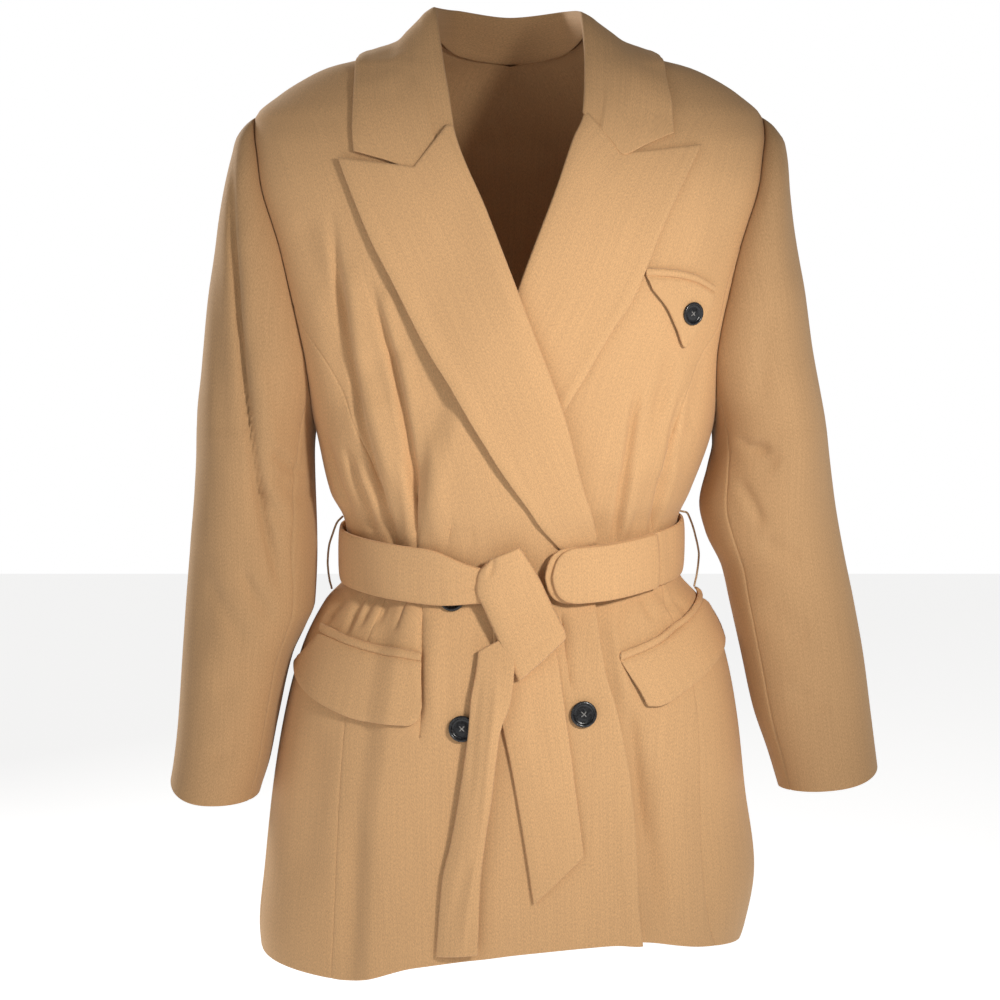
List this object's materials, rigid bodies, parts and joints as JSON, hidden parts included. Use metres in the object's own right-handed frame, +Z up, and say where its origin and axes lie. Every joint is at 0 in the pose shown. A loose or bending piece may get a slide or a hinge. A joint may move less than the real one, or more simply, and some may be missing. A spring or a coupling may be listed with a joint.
{
  "type": "tie-front blazer",
  "caption": "Lapped blazer with peaked lapels, long tailored sleeves, flapped hip pockets, a chest pocket, dark buttons and a belt knotted at the waist, in worn form.",
  "frame": {"origin": "middle of the neck opening, level between the two shoulder seams", "axes": "+Z up along the wearer, the front faces -Y, +X is the wearer's left"},
  "size_m": [0.5993, 0.2854, 0.803],
  "materials": {
    "cloth": "camel fine-weave suiting, matt, slightly heathered",
    "button": "near-black horn-like, satin, turned rim and bowl"
  },
  "bodies": {
    "root": {"front_right": "cloth", "front_left": "cloth", "side_front_right": "cloth", "side_front_left": "cloth", "back_right": "cloth", "back_left": "cloth", "lapel_right": "cloth", "lapel_left": "cloth", "collar": "cloth", "upper_sleeve_right": "cloth", "upper_sleeve_left": "cloth", "under_sleeve_right": "cloth", "under_sleeve_left": "cloth", "hip_welt_right": "cloth", "hip_welt_left": "cloth", "hip_flap_right": "cloth", "hip_flap_left": "cloth", "chest_welt": "cloth", "chest_flap": "cloth", "belt_right": "cloth", "belt_left": "cloth", "belt_loop": "cloth", "belt_knot": "cloth", "belt_tail_right": "cloth", "belt_tail_left": "cloth", "belt_carrier_right": "cloth", "belt_carrier_left": "cloth", "button_chest": "button", "button_upper": "button", "button_lower_right": "button", "button_lower_left": "button"}
  },
  "joints": []
}
